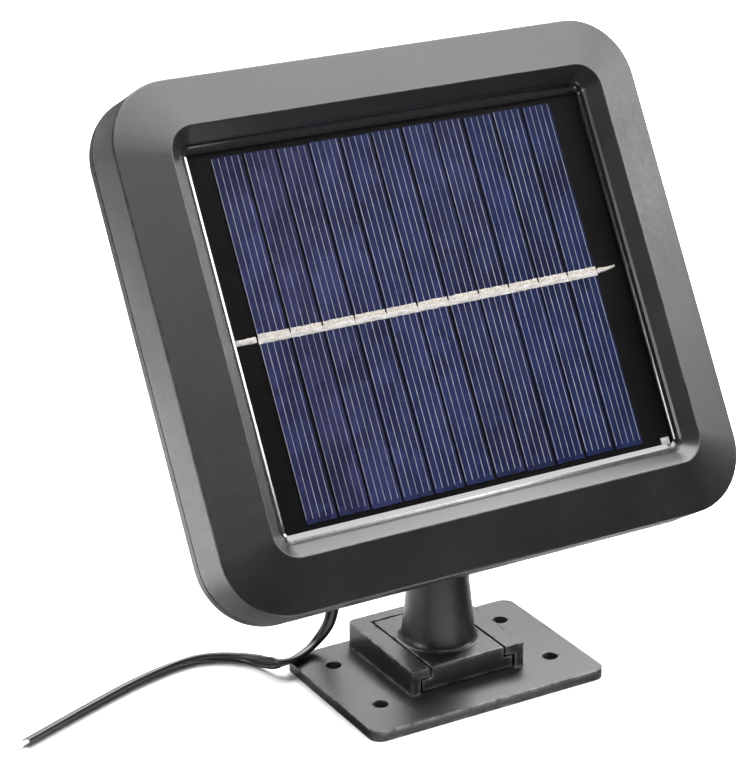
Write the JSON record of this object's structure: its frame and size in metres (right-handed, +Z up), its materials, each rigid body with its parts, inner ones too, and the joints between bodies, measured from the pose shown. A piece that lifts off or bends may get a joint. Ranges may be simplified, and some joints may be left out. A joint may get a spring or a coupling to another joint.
{
  "type": "solar panel unit of a flood light",
  "caption": "Tilting solar panel housing on a swivel stand that slides into a screw-down base plate, with a twin lead.",
  "frame": {"origin": "under the centre of the base plate, on its flat underside", "axes": "+Z up, the panel faces -Y and leans back, +X to the right of someone looking at the cells"},
  "size_m": [0.203, 0.0871, 0.1714],
  "materials": {
    "housing": "satin moulded ABS, fine grain",
    "stand": "satin moulded ABS, smooth",
    "rubber": "soft matt rubber",
    "jacket": "satin PVC lead",
    "board": "black solder mask",
    "cell": "polycrystalline silicon under resin",
    "tin": "tinned copper, soldered",
    "resin": "clear glossy resin",
    "bead": "glossy rim of cured resin over black plastic",
    "steel": "zinc plated steel",
    "diode": "moulded epoxy",
    "wire_red": "PVC insulation",
    "wire_black": "PVC insulation"
  },
  "bodies": {
    "base": {"base_plate": "stand"},
    "stand": {"neck_post": "stand"},
    "head": {"swivel_head": "stand", "swivel_washer": "steel", "swivel_screw": "steel", "lead_cable": "jacket", "core_end_1": "tin", "core_end_2": "tin"},
    "panel": {"front_bezel": "housing", "rear_cover": "housing", "case_gasket": "rubber", "seal_bead": "bead", "pv_backboard": "board", "clear_resin": "resin", "corner_pad": "tin", "lead_ribbon_left": "tin", "lead_ribbon_right": "tin", "solar_cell_01": "cell", "solar_cell_02": "cell", "solar_cell_03": "cell", "solar_cell_04": "cell", "solar_cell_05": "cell", "solar_cell_06": "cell", "solar_cell_07": "cell", "solar_cell_08": "cell", "solar_cell_09": "cell", "solar_cell_10": "cell", "solar_cell_11": "cell", "tab_01": "tin", "tab_02": "tin", "tab_03": "tin", "tab_04": "tin", "tab_05": "tin", "tab_06": "tin", "tab_07": "tin", "tab_08": "tin", "tab_09": "tin", "tab_10": "tin", "tab_11": "tin", "case_screw_1": "steel", "case_screw_2": "steel", "case_screw_3": "steel", "case_screw_4": "steel", "case_screw_5": "steel", "case_screw_6": "steel", "blocking_diode": "diode", "cable_grommet": "rubber", "wire_red": "wire_red", "wire_black": "wire_black", "hinge_bolt": "steel", "hinge_nut": "steel", "hinge_washer_1": "steel", "hinge_washer_2": "steel"}
  },
  "joints": [
    {"name": "foot_slide", "type": "slide", "parent": "base", "child": "stand", "axis": [0, -1, 0], "range_m": [0, 0.034]},
    {"name": "swivel", "type": "hinge", "parent": "stand", "child": "head", "pos_m": [0, 0.0039, 0.038], "axis": [0, 0, 1], "range_deg": [-90, 90]},
    {"name": "panel_tilt", "type": "hinge", "parent": "head", "child": "panel", "pos_m": [0, 0.0039, 0.05], "axis": [-1, 0, 0], "range_deg": [-30, 58], "deforming": ["lead_cable"]}
  ]
}
